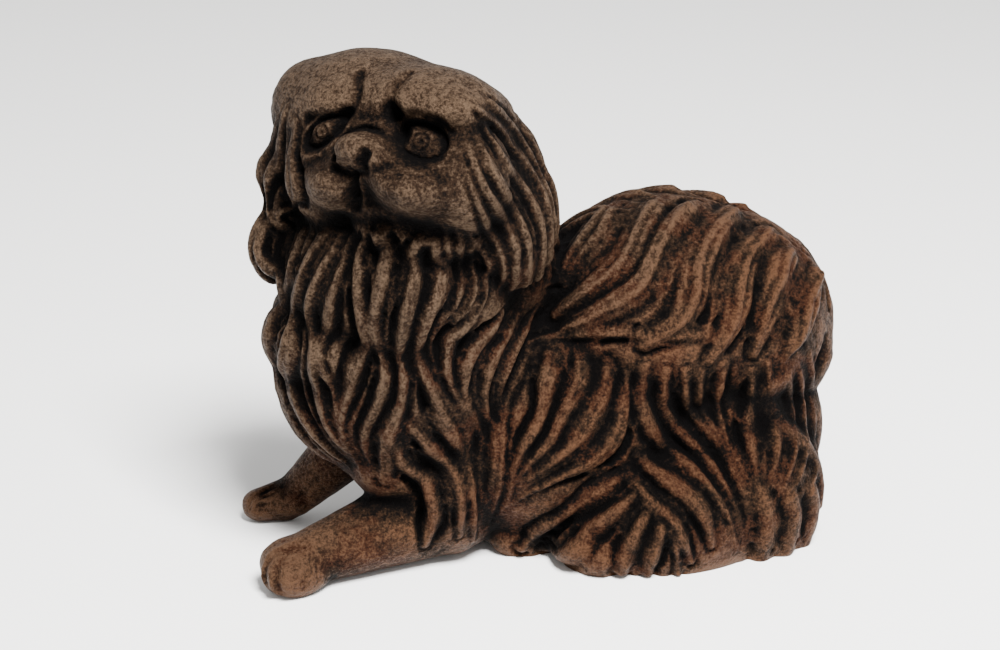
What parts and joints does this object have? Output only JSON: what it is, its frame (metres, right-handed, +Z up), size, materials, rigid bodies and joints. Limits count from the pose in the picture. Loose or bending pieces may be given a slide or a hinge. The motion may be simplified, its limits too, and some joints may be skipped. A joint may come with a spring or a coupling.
{
  "type": "dog statue",
  "caption": "Cast iron statue of a lying long-haired lap dog with deep locks of fur, forelegs stretched out in front and its head turned to its left",
  "frame": {"origin": "on the surface the statue rests on, under the middle of its bounding box", "axes": "-X the way the dog's body faces, -Y the dog's left side, +Z up"},
  "size_m": [0.3322, 0.168, 0.2789],
  "materials": {
    "iron": "sand-cast iron with a waxed rust-brown patina, darker in the hollows and worn lighter on the ridges"
  },
  "bodies": {
    "root": {"dog": "iron"}
  },
  "joints": []
}
